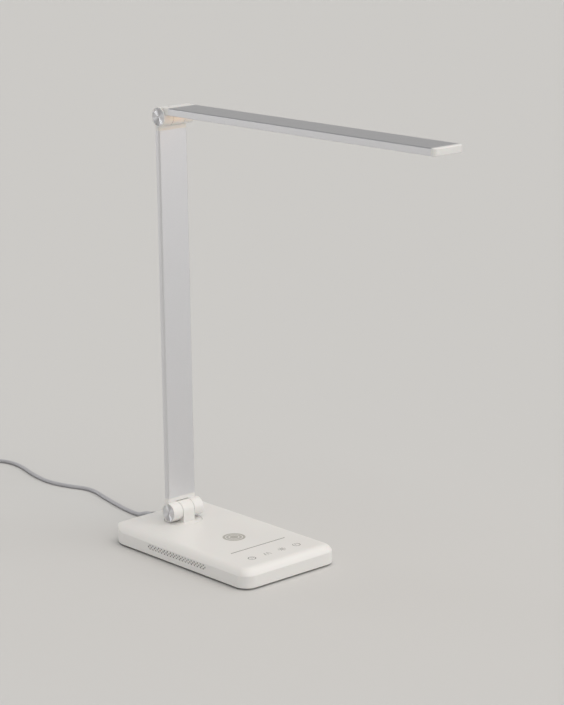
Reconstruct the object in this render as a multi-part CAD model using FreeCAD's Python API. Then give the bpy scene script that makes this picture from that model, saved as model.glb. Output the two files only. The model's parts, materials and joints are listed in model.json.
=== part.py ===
"""Folding LED desk lamp on a low weighted base with a wireless charging pad.

Frame: origin at the middle of the base's underside, on the table. +X runs along the base
towards the tip of the lamp head, +Y across the base, +Z up. Millimetres throughout.
"""
import FreeCAD, Part

import math
import os

from FreeCAD import Vector

TOLERANCE = 1e-6
REACH = 1.0            # how far a cutting tool runs past the face that it cuts

# Base housing
BASE_LENGTH = 200.0
BASE_WIDTH = 114.0
BASE_TOP = 19.6        # height of the flat top above the table
BASE_CORNER = 13.0     # plan radius of the front corners
BASE_BACK_CORNER = 22.5  # plan radius of the side walls at the hinge end
SHOULDER_INSET = 10.0  # width of the rolled rim of the top
SHOULDER_DROP = 6.4    # height of the rolled rim
SKIRT_GAP = 2.0        # height of the side walls' lower edge above the table
SHELL_WALL = 2.2
BOTTOM_THICKNESS = 2.6
BOTTOM_FIT = 0.15      # gap between bottom cover and side walls

# Non-slip pad, glued into a shallow recess
PAD_INSET = 7.5
PAD_SUNK = 0.4
PAD_FIT = 0.2
PAD_CORNER = 9.0

# Row of vent holes in the near long side
VENT_HOLE_RADIUS = 0.9
VENT_PITCH = 4.33
VENT_ROW_STEP = 1.65
VENT_LONG_ROW = 20     # holes in the middle row, the rows beside it have one fewer
VENT_CENTRE_X = 2.2
VENT_CENTRE_Z = 9.6

# Cover screws and their bosses
BOSS_RADIUS = 3.5
BOSS_END_INSET = 16.0   # from the base's ends to the outer bosses
BOSS_SIDE_INSET = 14.0  # from the base's long sides to the bosses
SCREW_RADIUS = 1.25
SCREW_HEAD_RADIUS = 2.7
SCREW_HEAD_HEIGHT = 1.1
SCREW_LENGTH = 8.0
SCREW_FIT = 0.02
HEAD_FIT = 0.3
SCREW_END_GAP = 0.5

# Ballast plate
BALLAST_THICKNESS = 4.0
BALLAST_INSET = 9.0    # from the base's outside to the plate's edge
BALLAST_CORNER = 8.0
BALLAST_FIT = 0.6      # gap round what passes through the plate

# Main circuit board
BOARD_LENGTH = 64.0
BOARD_WIDTH = 52.0
BOARD_THICKNESS = 1.6
BOARD_TO_TOUCH = 2.0  # how far the board reaches under the touch board
STANDOFF_HEIGHT = 5.6
STANDOFF_RADIUS = 3.0
STANDOFF_EDGE = 5.0
BOARD_SCREW_RADIUS = 1.0
BOARD_SCREW_HEAD_RADIUS = 2.0
BOARD_SCREW_HEAD_HEIGHT = 1.2
BOARD_SCREW_DEPTH = 4.0
INDUCTOR_RADIUS = 4.0
INDUCTOR_HEIGHT = 2.6
CHIP_SIDE = 6.0
CHIP_HEIGHT = 1.0
HEADER_LENGTH = 12.0
HEADER_WIDTH = 4.0
HEADER_HEIGHT = 2.6

# Wireless charging coil under the top
COIL_TO_TOUCH = 6.0  # from the coil's rim to the touch board
COIL_INNER_RADIUS = 10.5
COIL_OUTER_RADIUS = 22.0
COIL_THICKNESS = 1.6
FERRITE_RADIUS = 24.0
FERRITE_THICKNESS = 1.0

# Touch board under the top
TOUCH_FRONT_INSET = 20.0  # from the base's front end to the board
TOUCH_LENGTH = 34.0
TOUCH_WIDTH = 76.0
TOUCH_THICKNESS = 1.2

# Power inlet in the back wall and the lead's own plug
INLET_Y = 11.0
INLET_Z = 7.6
INLET_DEPTH = 11.0
INLET_WIDTH = 11.0
INLET_HEIGHT = 6.4
INLET_BORE_RADIUS = 2.8
INLET_GAP = 0.3
PLUG_BARREL_RADIUS = 2.7
PLUG_BARREL_LENGTH = 10.0
PLUG_SEAT_GAP = 0.3    # between the plug's grip and the back wall
PLUG_GRIP_RADIUS = 4.6
PLUG_GRIP_LENGTH = 8.0
PLUG_RELIEF_LENGTH = 10.0
PLUG_TAIL_RADIUS = 2.4
PLUG_RIB_COUNT = 3
PLUG_RIB_DEPTH = 0.4
PLUG_RIB_WIDTH = 1.3
INLET_OPENING_RADIUS = 3.4

# Swivel between base and neck
HINGE_INSET = 44.0     # from the base's back end to the swivel axis, which both hinges cross
TURNTABLE_RADIUS = 18.0
TURNTABLE_THICKNESS = 3.0
TURNTABLE_GAP = 0.3    # visible round the disc
SWIVEL_WASHER_THICKNESS = 0.6
HUB_WALL = 2.4
HUB_FLOOR = 3.0
STEM_RADIUS = 10.0
STEM_RUNNING_FIT = 0.1
STEM_THREAD_RADIUS = 9.0
NUT_FIT = 0.02
SWIVEL_SPRING_THICKNESS = 0.6
SWIVEL_NUT_HEIGHT = 2.6
SWIVEL_NUT_RADIUS = 14.0
SWIVEL_NUT_SLOTS = 4
SWIVEL_NUT_SLOT_WIDTH = 3.0
SWIVEL_NUT_SLOT_DEPTH = 2.0
STEM_END = 0.8         # thread left below the nut
WIRE_BORE_RADIUS = 3.0

# Hinges: both use the same barrel
BARREL_RADIUS = 9.0
BARREL_LENGTH = 36.4
NECK_WIDTH = 13.6
KNUCKLE_GAP = 0.5      # filled by a friction washer
KNUCKLE_CLEARANCE = 0.5
SHAFT_RADIUS = 3.0
SHAFT_FIT = 0.02
BUSH_RUNNING_FIT = 0.05
BUSH_RADIUS = 5.0
FRICTION_WASHER_RADIUS = 8.0
CAP_DISC_RADIUS = 8.1
CAP_DISC_THICKNESS = 1.4
CAP_FIT = 0.1
CAP_EDGE = 0.3
NUT_RECESS_RADIUS = 6.6
NUT_RECESS_DEPTH = 4.2
HINGE_NUT_ACROSS_FLATS = 10.0
HINGE_NUT_HEIGHT = 2.8
SPRING_WASHER_THICKNESS = 0.6
SPRING_WASHER_RADIUS = 6.0

# Arm
LOWER_PIVOT_Z = 30.0
PIVOT_SPAN = 380.7
ARM_WIDTH = 34.0
ARM_THICKNESS = 6.2
ARM_SETBACK = 1.1      # from the hinge axis back to the arm's front face
ARM_CHAMFER = 1.4
ARM_FACE_WALL = 1.3
ARM_SIDE_WALL = 2.0
ARM_RIB_WALL = 1.2
WIRE_CELL_WIDTH = 10.0
BRACKET_REACH = 13.2   # from a hinge axis to the end of the extrusion
ARM_TONGUE_LENGTH = 16.0
TONGUE_FIT = 0.1
ARM_WIRE_WIDTH = 8.0
ARM_WIRE_THICKNESS = 1.2

# Head
HEAD_LENGTH = 351.8    # from the upper hinge axis to the tip
HEAD_WIDTH = 34.0
HEAD_THICKNESS = 6.7
HEAD_UPPER_EDGE = 1.2      # radius of the rim above
HEAD_LOWER_EDGE = 0.6      # and of the rim below
HEAD_TOP_WALL = 1.4
LIGHT_CELL_WIDTH = 24.0
DIFFUSER_WIDTH = 28.0
DIFFUSER_REBATE = 2.0
DIFFUSER_PROUD = 0.4
DIFFUSER_FIT = 0.1
DIFFUSER_CHAMFER = 0.4
HEAD_TONGUE_LENGTH = 12.0
END_CAP_LENGTH = 4.0
END_CAP_CORNER = 3.6
END_CAP_TONGUE = 8.0
LED_BOARD_WIDTH = 16.0
LED_BOARD_THICKNESS = 1.0
LED_COUNT = 40
LED_LENGTH = 3.5
LED_WIDTH = 2.8
LED_HEIGHT = 0.8

# Power lead
CORD_DIAMETER = 3.8
CORD_FLOOR_GAP = 0.05
CORD_COIL_X = -393.0
CORD_COIL_Y = -21.0
CORD_COIL_MID_RADIUS = 22.3
CORD_COIL_LAYERS = 2
CORD_COIL_WHOLE_TURNS = 8
CORD_ENTRY_DEG = 130.0   # where the lead runs onto the coil
CORD_LEAVE_DEG = 270.0   # where its tail leaves the coil again
CORD_ROUTE = [           # corners of the lead's route from the plug to the coil
    (-127.5, 11.0, 7.0),
    (-138.5, 11.2, 1.95),
    (-159.0, 12.0, 1.95),
    (-182.5, 16.2, 1.95),
    (-209.0, 21.7, 1.95),
    (-240.8, 29.0, 1.95),
    (-261.2, 19.5, 1.95),
    (-289.7, 11.6, 1.95),
    (-322.0, 15.1, 1.95),
    (-357.0, 24.7, 1.95),
    (-382.0, 24.7, 1.95),
    (-399.5, 13.2, 1.95),
]
ARC_SHARE = 0.45         # of the shorter run that an arc's tangent takes

# Plug at the far end of the lead
TAIL_LENGTH = 18.0
USB_RELIEF_LENGTH = 12.0
USB_BODY_LENGTH = 22.0
USB_BODY_WIDTH = 15.6
USB_BODY_HEIGHT = 8.0
USB_BODY_CORNER = 2.0
USB_SHELL_LENGTH = 12.0
USB_SHELL_SUNK = 3.0
USB_SHELL_WIDTH = 12.0
USB_SHELL_HEIGHT = 4.5
USB_SHELL_WALL = 0.4
USB_TONGUE_HEIGHT = 1.8

# Levels and stations that follow from the sizes above
BACK_WALL = -BASE_LENGTH / 2
HINGE_X = BACK_WALL + HINGE_INSET
BOSS_X = BASE_LENGTH / 2 - BOSS_END_INSET
BOSS_Y = BASE_WIDTH / 2 - BOSS_SIDE_INSET
TOUCH_FAR_X = BASE_LENGTH / 2 - TOUCH_FRONT_INSET
TOUCH_NEAR_X = TOUCH_FAR_X - TOUCH_LENGTH
COIL_CENTRE_X = TOUCH_NEAR_X - COIL_TO_TOUCH - COIL_OUTER_RADIUS
BOARD_CENTRE_X = TOUCH_NEAR_X + BOARD_TO_TOUCH - BOARD_LENGTH / 2
BOTTOM_TOP = SKIRT_GAP + BOTTOM_THICKNESS
CEILING = BASE_TOP - SHELL_WALL
BALLAST_TOP = BOTTOM_TOP + BALLAST_THICKNESS
BOARD_BOTTOM = BOTTOM_TOP + STANDOFF_HEIGHT
BOARD_TOP = BOARD_BOTTOM + BOARD_THICKNESS
PAD_TOP = SKIRT_GAP + PAD_SUNK
DISC_BOTTOM = BASE_TOP - TURNTABLE_THICKNESS
HUB_FLOOR_TOP = DISC_BOTTOM - SWIVEL_WASHER_THICKNESS
HUB_FLOOR_BOTTOM = HUB_FLOOR_TOP - HUB_FLOOR
SWIVEL_NUT_TOP = HUB_FLOOR_BOTTOM - SWIVEL_SPRING_THICKNESS
SWIVEL_NUT_BOTTOM = SWIVEL_NUT_TOP - SWIVEL_NUT_HEIGHT
STEM_BOTTOM = SWIVEL_NUT_BOTTOM - STEM_END
UPPER_PIVOT_Z = LOWER_PIVOT_Z + PIVOT_SPAN
ARM_FRONT = HINGE_X - ARM_SETBACK
ARM_BACK = ARM_FRONT - ARM_THICKNESS
ARM_BOTTOM = LOWER_PIVOT_Z + BRACKET_REACH
ARM_TOP = UPPER_PIVOT_Z - BRACKET_REACH
HEAD_TOP = UPPER_PIVOT_Z + BARREL_RADIUS
HEAD_BOTTOM = HEAD_TOP - HEAD_THICKNESS
HEAD_START = HINGE_X + BRACKET_REACH
HEAD_TIP = HINGE_X + HEAD_LENGTH
HEAD_END = HEAD_TIP - END_CAP_LENGTH
LIGHT_CELL_TOP = HEAD_TOP - HEAD_TOP_WALL
LIGHT_CELL_BOTTOM = HEAD_BOTTOM + DIFFUSER_REBATE
KNUCKLE_INNER = NECK_WIDTH / 2 + KNUCKLE_GAP
KNUCKLE_OUTER = BARREL_LENGTH / 2
CAP_SEAT = KNUCKLE_OUTER - CAP_DISC_THICKNESS
NUT_SEAT = CAP_SEAT - NUT_RECESS_DEPTH
CORD_RADIUS = CORD_DIAMETER / 2
CORD_Z = CORD_RADIUS + CORD_FLOOR_GAP


# ---------------------------------------------------------------- shape helpers

def box(x_range, y_range, z_range):
    """Upright box between two corners given as ranges."""
    size = [high - low for low, high in (x_range, y_range, z_range)]
    return Part.makeBox(*size, Vector(x_range[0], y_range[0], z_range[0]))


def post(x, y, radius, bottom, top):
    """Upright round post."""
    return Part.makeCylinder(radius, top - bottom, Vector(x, y, bottom))


def roller(x, z, radius, start, end):
    """Round bar lying along Y."""
    return Part.makeCylinder(radius, end - start, Vector(x, start, z), Vector(0, 1, 0))


def rod(y, z, radius, start, end):
    """Round bar lying along X."""
    return Part.makeCylinder(radius, end - start, Vector(start, y, z), Vector(1, 0, 0))


def ring(outer, inner):
    """Tube left when one round body is cut out of another."""
    return outer.cut(inner)


def fused(shapes):
    """One clean solid out of several that touch or overlap."""
    shapes = list(shapes)
    body = shapes[0].fuse(shapes[1:]) if len(shapes) > 1 else shapes[0]
    return body.removeSplitter()


def prism(points, along):
    """Straight prism over a closed polygon."""
    corners = [Vector(*point) for point in points]
    return Part.Face(Part.makePolygon(corners + corners[:1])).extrude(Vector(*along))


def rounded_plate(length, width, radius, bottom, top, back_radius=None):
    """Upright plate centred on the Z axis, its corners round, those at -X by their own radius."""
    half_length, half_width = length / 2, width / 2
    plate = box((-half_length, half_length), (-half_width, half_width), (bottom, top))
    for end, size in ((1, radius), (-1, back_radius or radius)):
        upright = [edge for edge in plate.Edges
                   if abs(edge.Vertexes[0].Z - edge.Vertexes[-1].Z) > TOLERANCE
                   and edge.Vertexes[0].X * end > 0]
        plate = plate.makeFillet(size, upright)
    return plate


def rim_edges(body, level):
    """Edges that lie flat at one height."""
    return [edge for edge in body.Edges
            if all(abs(vertex.Z - level) < TOLERANCE for vertex in edge.Vertexes)]


def chamfered_slab(width, thickness, first_chamfer, second_chamfer):
    """Corners of a slab's section: width to both sides, thickness from 0, two chamfer sizes."""
    half = width / 2
    return [
        (-half + first_chamfer, 0.0), (half - first_chamfer, 0.0),
        (half, first_chamfer), (half, thickness - second_chamfer),
        (half - second_chamfer, thickness), (-half + second_chamfer, thickness),
        (-half, thickness - second_chamfer), (-half, first_chamfer),
    ]


def cushion(length, width, corner, back_corner, bottom, top):
    """Block with upright sides whose top rim rolls over in one arc; rounder walls at the back."""
    roll = (SHOULDER_INSET ** 2 + SHOULDER_DROP ** 2) / (2 * SHOULDER_DROP)
    grow = roll - SHOULDER_INSET
    blank = rounded_plate(length + 2 * grow, width + 2 * grow, corner + grow, bottom, top)
    rolled = blank.makeFillet(roll, rim_edges(blank, top))
    return rolled.common(rounded_plate(length, width, corner, bottom, top, back_corner))


def mirrored_pair(shape):
    """A shape and its mirror image across the lamp's middle plane, as separate solids."""
    other = shape.mirror(Vector(0, 0, 0), Vector(0, 1, 0))
    return Part.makeCompound([shape, other])


def save(name, shape):
    """Write one sub-part and print its volume."""
    if not shape.isValid():
        raise ValueError(name + " is not a valid shape")
    shape.exportStep("parts/" + name + ".step")
    print(f"{name:28s} solids {len(shape.Solids):3d}  volume {shape.Volume:12.2f}")


# ---------------------------------------------------------------- base

def boss_places():
    """Plan positions of the six cover screws."""
    return [(x, y) for x in (-BOSS_X, 0.0, BOSS_X) for y in (-BOSS_Y, BOSS_Y)]


def standoff_places():
    """Plan positions of the main board's four standoffs."""
    reach_x = BOARD_LENGTH / 2 - STANDOFF_EDGE
    reach_y = BOARD_WIDTH / 2 - STANDOFF_EDGE
    return [(BOARD_CENTRE_X + sx * reach_x, sy * reach_y) for sx in (-1, 1) for sy in (-1, 1)]


def vent_drills():
    """Three staggered rows of drills through the near side wall."""
    drills = []
    wall = -BASE_WIDTH / 2
    for row in (-1, 0, 1):
        count = VENT_LONG_ROW - abs(row)
        for index in range(count):
            x = VENT_CENTRE_X + (index - (count - 1) / 2) * VENT_PITCH
            z = VENT_CENTRE_Z + row * VENT_ROW_STEP
            drills.append(roller(x, z, VENT_HOLE_RADIUS, wall - REACH, wall + 3 * SHELL_WALL))
    return Part.makeCompound(drills)


def base_top_cover():
    """Moulded shell with rolled rim, swivel hub, screw bosses, vents and inlet opening."""
    outer = cushion(BASE_LENGTH, BASE_WIDTH, BASE_CORNER, BASE_BACK_CORNER, SKIRT_GAP, BASE_TOP)
    inner = cushion(BASE_LENGTH - 2 * SHELL_WALL, BASE_WIDTH - 2 * SHELL_WALL,
                    BASE_CORNER - SHELL_WALL, BASE_BACK_CORNER - SHELL_WALL,
                    SKIRT_GAP - REACH, CEILING)
    hub_radius = TURNTABLE_RADIUS + TURNTABLE_GAP + HUB_WALL
    hub = post(HINGE_X, 0, hub_radius, HUB_FLOOR_BOTTOM, CEILING + SHELL_WALL / 2)
    bosses = [post(x, y, BOSS_RADIUS, BOTTOM_TOP, CEILING + SHELL_WALL / 2)
              for x, y in boss_places()]
    shell = fused([outer.cut(inner), hub] + bosses)
    seat = post(HINGE_X, 0, TURNTABLE_RADIUS + TURNTABLE_GAP, HUB_FLOOR_TOP, BASE_TOP + REACH)
    bore = post(HINGE_X, 0, STEM_RADIUS + STEM_RUNNING_FIT,
                HUB_FLOOR_BOTTOM - REACH, HUB_FLOOR_TOP + REACH)
    pilots = [post(x, y, SCREW_RADIUS + SCREW_FIT, BOTTOM_TOP - REACH, screw_tip() + SCREW_END_GAP)
              for x, y in boss_places()]
    opening = rod(INLET_Y, INLET_Z, INLET_OPENING_RADIUS,
                  BACK_WALL - REACH, BACK_WALL + SHELL_WALL + REACH)
    return shell.cut([seat, bore, opening] + pilots).cut(vent_drills())


def screw_tip():
    """Level that a cover screw reaches."""
    return PAD_TOP + SCREW_HEAD_HEIGHT + SCREW_LENGTH


def base_bottom_cover():
    """Flat floor of the base with pad recess, screw counterbores and board standoffs."""
    inset = SHELL_WALL + BOTTOM_FIT
    floor = rounded_plate(BASE_LENGTH - 2 * inset, BASE_WIDTH - 2 * inset, BASE_CORNER - inset,
                          SKIRT_GAP, BOTTOM_TOP, BASE_BACK_CORNER - inset)
    standoffs = [post(x, y, STANDOFF_RADIUS, SKIRT_GAP + BOTTOM_THICKNESS / 2, BOARD_BOTTOM)
                 for x, y in standoff_places()]
    plate = fused([floor] + standoffs)
    recess = rounded_plate(BASE_LENGTH - 2 * PAD_INSET + 2 * PAD_FIT,
                           BASE_WIDTH - 2 * PAD_INSET + 2 * PAD_FIT,
                           PAD_CORNER + PAD_FIT, SKIRT_GAP - REACH, PAD_TOP)
    head_top = PAD_TOP + SCREW_HEAD_HEIGHT
    heads = [post(x, y, SCREW_HEAD_RADIUS + HEAD_FIT, SKIRT_GAP - REACH, head_top)
             for x, y in boss_places()]
    shanks = [post(x, y, SCREW_RADIUS + HEAD_FIT, SKIRT_GAP, BOTTOM_TOP + REACH)
              for x, y in boss_places()]
    threads = [post(x, y, BOARD_SCREW_RADIUS + SCREW_FIT,
                    BOARD_BOTTOM - BOARD_SCREW_DEPTH - SCREW_END_GAP, BOARD_BOTTOM + REACH)
               for x, y in standoff_places()]
    return plate.cut([recess] + heads + shanks + threads)


def non_slip_pad():
    """Rubber pad that the lamp stands on."""
    return rounded_plate(BASE_LENGTH - 2 * PAD_INSET, BASE_WIDTH - 2 * PAD_INSET,
                         PAD_CORNER, 0.0, PAD_TOP)


def base_screws():
    """Six self-tapping screws that hold the bottom cover."""
    screws = []
    for x, y in boss_places():
        head_top = PAD_TOP + SCREW_HEAD_HEIGHT
        head = post(x, y, SCREW_HEAD_RADIUS, PAD_TOP, head_top)
        shank = post(x, y, SCREW_RADIUS, PAD_TOP, screw_tip())
        screws.append(fused([head, shank]))
    return Part.makeCompound(screws)


def ballast_plate():
    """Steel plate that keeps the lamp from tipping."""
    trim = 2 * BALLAST_INSET
    plate = rounded_plate(BASE_LENGTH - trim, BASE_WIDTH - trim, BALLAST_CORNER,
                          BOTTOM_TOP, BALLAST_TOP)
    below, above = BOTTOM_TOP - REACH, BALLAST_TOP + REACH
    holes = [post(x, y, BOSS_RADIUS + BALLAST_FIT, below, above) for x, y in boss_places()]
    holes += [post(x, y, STANDOFF_RADIUS + BALLAST_FIT, below, above)
              for x, y in standoff_places()]
    inlet_end = BACK_WALL + SHELL_WALL + INLET_GAP + INLET_DEPTH
    notch = box((BACK_WALL, inlet_end + BALLAST_FIT),
                (INLET_Y - INLET_WIDTH / 2 - BALLAST_FIT, INLET_Y + INLET_WIDTH / 2 + BALLAST_FIT),
                (below, above))
    return plate.cut(holes + [notch])


def main_board():
    """Circuit board on the four standoffs."""
    half_length, half_width = BOARD_LENGTH / 2, BOARD_WIDTH / 2
    board = box((BOARD_CENTRE_X - half_length, BOARD_CENTRE_X + half_length),
                (-half_width, half_width), (BOARD_BOTTOM, BOARD_TOP))
    holes = [post(x, y, BOARD_SCREW_RADIUS + HEAD_FIT, BOARD_BOTTOM - REACH, BOARD_TOP + REACH)
             for x, y in standoff_places()]
    return board.cut(holes)


def board_screws():
    """Four small screws that hold the main board."""
    screws = []
    for x, y in standoff_places():
        head = post(x, y, BOARD_SCREW_HEAD_RADIUS, BOARD_TOP, BOARD_TOP + BOARD_SCREW_HEAD_HEIGHT)
        shank = post(x, y, BOARD_SCREW_RADIUS, BOARD_BOTTOM - BOARD_SCREW_DEPTH,
                     BOARD_TOP + BOARD_SCREW_HEAD_HEIGHT / 2)
        screws.append(fused([head, shank]))
    return Part.makeCompound(screws)


def board_parts():
    """Two inductors, three chips and two plug headers soldered to the main board."""
    quarter = BOARD_LENGTH / 4
    parts = [post(BOARD_CENTRE_X + side * quarter / 2, BOARD_WIDTH / 4, INDUCTOR_RADIUS,
                  BOARD_TOP, BOARD_TOP + INDUCTOR_HEIGHT) for side in (-1, 1)]
    for step in (-1, 0, 1):
        x = BOARD_CENTRE_X + step * quarter
        parts.append(box((x - CHIP_SIDE / 2, x + CHIP_SIDE / 2), (-CHIP_SIDE, 0.0),
                         (BOARD_TOP, BOARD_TOP + CHIP_HEIGHT)))
    for side in (-1, 1):
        end = BOARD_CENTRE_X + side * (BOARD_LENGTH / 2 - HEADER_WIDTH / 2)
        parts.append(box((end - HEADER_WIDTH / 2, end + HEADER_WIDTH / 2),
                         (-HEADER_LENGTH / 2, HEADER_LENGTH / 2),
                         (BOARD_TOP, BOARD_TOP + HEADER_HEIGHT)))
    return Part.makeCompound(parts)


def charging_coil():
    """Flat wound copper coil against the underside of the top."""
    bottom = CEILING - COIL_THICKNESS
    return ring(post(COIL_CENTRE_X, 0, COIL_OUTER_RADIUS, bottom, CEILING),
                post(COIL_CENTRE_X, 0, COIL_INNER_RADIUS, bottom - REACH, CEILING + REACH))


def coil_ferrite():
    """Ferrite disc that backs the charging coil."""
    top = CEILING - COIL_THICKNESS
    return post(COIL_CENTRE_X, 0, FERRITE_RADIUS, top - FERRITE_THICKNESS, top)


def touch_board():
    """Board with the touch electrodes against the underside of the top."""
    return box((TOUCH_NEAR_X, TOUCH_FAR_X), (-TOUCH_WIDTH / 2, TOUCH_WIDTH / 2),
               (CEILING - TOUCH_THICKNESS, CEILING))


def power_inlet():
    """Round power socket behind the opening in the back wall."""
    near = BACK_WALL + SHELL_WALL + INLET_GAP
    half = INLET_WIDTH / 2
    body = box((near, near + INLET_DEPTH), (INLET_Y - half, INLET_Y + half),
               (BOTTOM_TOP, BOTTOM_TOP + INLET_HEIGHT))
    return body.cut(rod(INLET_Y, INLET_Z, INLET_BORE_RADIUS, near - REACH,
                        plug_face() + PLUG_BARREL_LENGTH + INLET_GAP))


# ---------------------------------------------------------------- swivel and neck

def turntable():
    """Disc, threaded stem and upright neck with the middle knuckle, in one piece."""
    disc = post(HINGE_X, 0, TURNTABLE_RADIUS, DISC_BOTTOM, BASE_TOP)
    stem = post(HINGE_X, 0, STEM_RADIUS, SWIVEL_NUT_TOP, DISC_BOTTOM + REACH)
    thread = post(HINGE_X, 0, STEM_THREAD_RADIUS, STEM_BOTTOM, SWIVEL_NUT_TOP + REACH)
    half = NECK_WIDTH / 2
    neck = box((HINGE_X - BARREL_RADIUS, HINGE_X + BARREL_RADIUS), (-half, half),
               (BASE_TOP - REACH, LOWER_PIVOT_Z))
    knuckle = roller(HINGE_X, LOWER_PIVOT_Z, BARREL_RADIUS, -half, half)
    body = fused([disc, stem, thread, neck, knuckle])
    bush_bore = roller(HINGE_X, LOWER_PIVOT_Z, BUSH_RADIUS + SHAFT_FIT, -half - REACH, half + REACH)
    wire_bore = post(HINGE_X, 0, WIRE_BORE_RADIUS, STEM_BOTTOM - REACH,
                     LOWER_PIVOT_Z - BUSH_RADIUS - REACH)
    return body.cut([bush_bore, wire_bore])


def swivel_washer():
    """Plastic bearing washer under the disc."""
    return ring(post(HINGE_X, 0, TURNTABLE_RADIUS, HUB_FLOOR_TOP, DISC_BOTTOM),
                post(HINGE_X, 0, STEM_RADIUS + STEM_RUNNING_FIT, HUB_FLOOR_TOP - REACH,
                     DISC_BOTTOM + REACH))


def swivel_spring():
    """Spring washer that sets the swivel's friction."""
    return ring(post(HINGE_X, 0, SWIVEL_NUT_RADIUS, SWIVEL_NUT_TOP, HUB_FLOOR_BOTTOM),
                post(HINGE_X, 0, STEM_RADIUS + STEM_RUNNING_FIT, SWIVEL_NUT_TOP - REACH,
                     HUB_FLOOR_BOTTOM + REACH))


def swivel_nut():
    """Slotted ring nut on the stem."""
    nut = ring(post(HINGE_X, 0, SWIVEL_NUT_RADIUS, SWIVEL_NUT_BOTTOM, SWIVEL_NUT_TOP),
               post(HINGE_X, 0, STEM_THREAD_RADIUS + NUT_FIT, SWIVEL_NUT_BOTTOM - REACH,
                    SWIVEL_NUT_TOP + REACH))
    slots = []
    for index in range(SWIVEL_NUT_SLOTS):
        slot = box((SWIVEL_NUT_RADIUS - SWIVEL_NUT_SLOT_DEPTH, SWIVEL_NUT_RADIUS + REACH),
                   (-SWIVEL_NUT_SLOT_WIDTH / 2, SWIVEL_NUT_SLOT_WIDTH / 2),
                   (SWIVEL_NUT_BOTTOM - REACH, SWIVEL_NUT_TOP + REACH))
        slot.rotate(Vector(0, 0, 0), Vector(0, 0, 1), 360 * index / SWIVEL_NUT_SLOTS)
        slot.translate(Vector(HINGE_X, 0, 0))
        slots.append(slot)
    return nut.cut(slots)


# ---------------------------------------------------------------- hinges

def hinge_shaft(pivot_z):
    """Steel shaft through all knuckles of one hinge."""
    end = NUT_SEAT + SPRING_WASHER_THICKNESS + HINGE_NUT_HEIGHT
    return roller(HINGE_X, pivot_z, SHAFT_RADIUS, -end, end)


def hinge_bush(pivot_z):
    """Friction bush in the middle knuckle."""
    half = NECK_WIDTH / 2
    return ring(roller(HINGE_X, pivot_z, BUSH_RADIUS, -half, half),
                roller(HINGE_X, pivot_z, SHAFT_RADIUS + BUSH_RUNNING_FIT,
                       -half - REACH, half + REACH))


def hinge_washer_pair(pivot_z, outer_radius, start, thickness):
    """Two equal washers on the shaft, one each side of the middle plane."""
    washer = ring(roller(HINGE_X, pivot_z, outer_radius, start, start + thickness),
                  roller(HINGE_X, pivot_z, SHAFT_RADIUS + BUSH_RUNNING_FIT,
                         start - REACH, start + thickness + REACH))
    return mirrored_pair(washer)


def hinge_nuts(pivot_z):
    """Two hexagon nuts on the ends of the shaft."""
    start = NUT_SEAT + SPRING_WASHER_THICKNESS
    corner = HINGE_NUT_ACROSS_FLATS / 2 / math.cos(math.pi / 6)
    points = [(HINGE_X + corner * math.cos(math.radians(60 * k)), start,
               pivot_z + corner * math.sin(math.radians(60 * k))) for k in range(6)]
    nut = prism(points, (0, HINGE_NUT_HEIGHT, 0))
    hole = roller(HINGE_X, pivot_z, SHAFT_RADIUS + SHAFT_FIT,
                  start - REACH, start + HINGE_NUT_HEIGHT + REACH)
    return mirrored_pair(nut.cut(hole))


def hinge_caps(pivot_z):
    """Two spun metal discs that close the ends of the barrel."""
    disc = roller(HINGE_X, pivot_z, CAP_DISC_RADIUS, CAP_SEAT, KNUCKLE_OUTER)
    rim = [edge for edge in disc.Edges
           if all(abs(vertex.Y - KNUCKLE_OUTER) < TOLERANCE for vertex in edge.Vertexes)]
    return mirrored_pair(disc.makeChamfer(CAP_EDGE, rim))


# ---------------------------------------------------------------- arm

def arm_prism(bottom, top):
    """Outer form of the arm between two levels."""
    section = chamfered_slab(ARM_WIDTH, ARM_THICKNESS, ARM_CHAMFER, ARM_CHAMFER)
    points = [(ARM_BACK + depth, y, bottom) for y, depth in section]
    return prism(points, (0, 0, top - bottom))


def arm_cells():
    """Y ranges of the arm's three hollow cells, the wire's in the middle."""
    wire = WIRE_CELL_WIDTH / 2
    inner, outer = wire + ARM_RIB_WALL, ARM_WIDTH / 2 - ARM_SIDE_WALL
    return [(-outer, -inner), (-wire, wire), (inner, outer)]


def arm_extrusion():
    """Hollow aluminium arm with three cells."""
    depth = (ARM_BACK + ARM_FACE_WALL, ARM_FRONT - ARM_FACE_WALL)
    cells = [box(depth, span, (ARM_BOTTOM - REACH, ARM_TOP + REACH)) for span in arm_cells()]
    return arm_prism(ARM_BOTTOM, ARM_TOP).cut(cells)


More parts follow.
